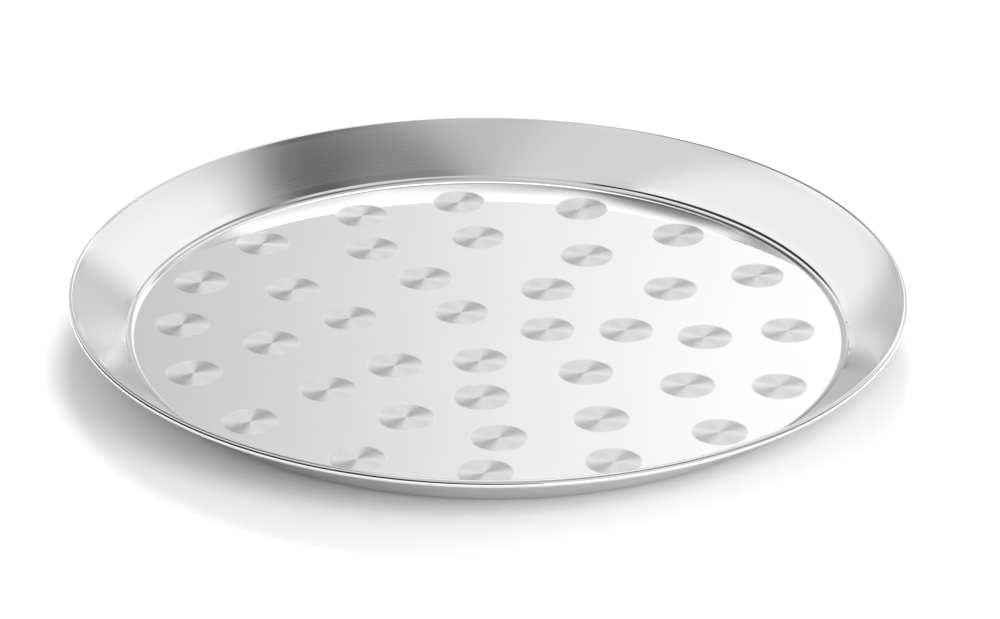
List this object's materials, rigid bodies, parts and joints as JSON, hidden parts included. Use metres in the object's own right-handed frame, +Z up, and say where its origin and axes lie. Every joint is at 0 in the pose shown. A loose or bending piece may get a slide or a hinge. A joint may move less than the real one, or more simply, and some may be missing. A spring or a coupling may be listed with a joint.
{
  "type": "round serving tray",
  "caption": "Shallow round steel tray with a flat polished floor patterned with brushed discs, a sloping wall and an edge rolled over a wire.",
  "frame": {"origin": "centre of the flat underside, on the surface that the tray stands on", "axes": "+Z up, along the tray's axis of revolution; +X and +Y point across the tray, and the rim wire's butt joint is at +Y"},
  "size_m": [0.35, 0.35, 0.0212],
  "materials": {
    "polished_steel": "mirror-polished stainless steel",
    "drawn_wire": "plain drawn steel wire"
  },
  "bodies": {
    "root": {"tray_pan": "polished_steel", "rim_wire": "drawn_wire"}
  },
  "joints": []
}
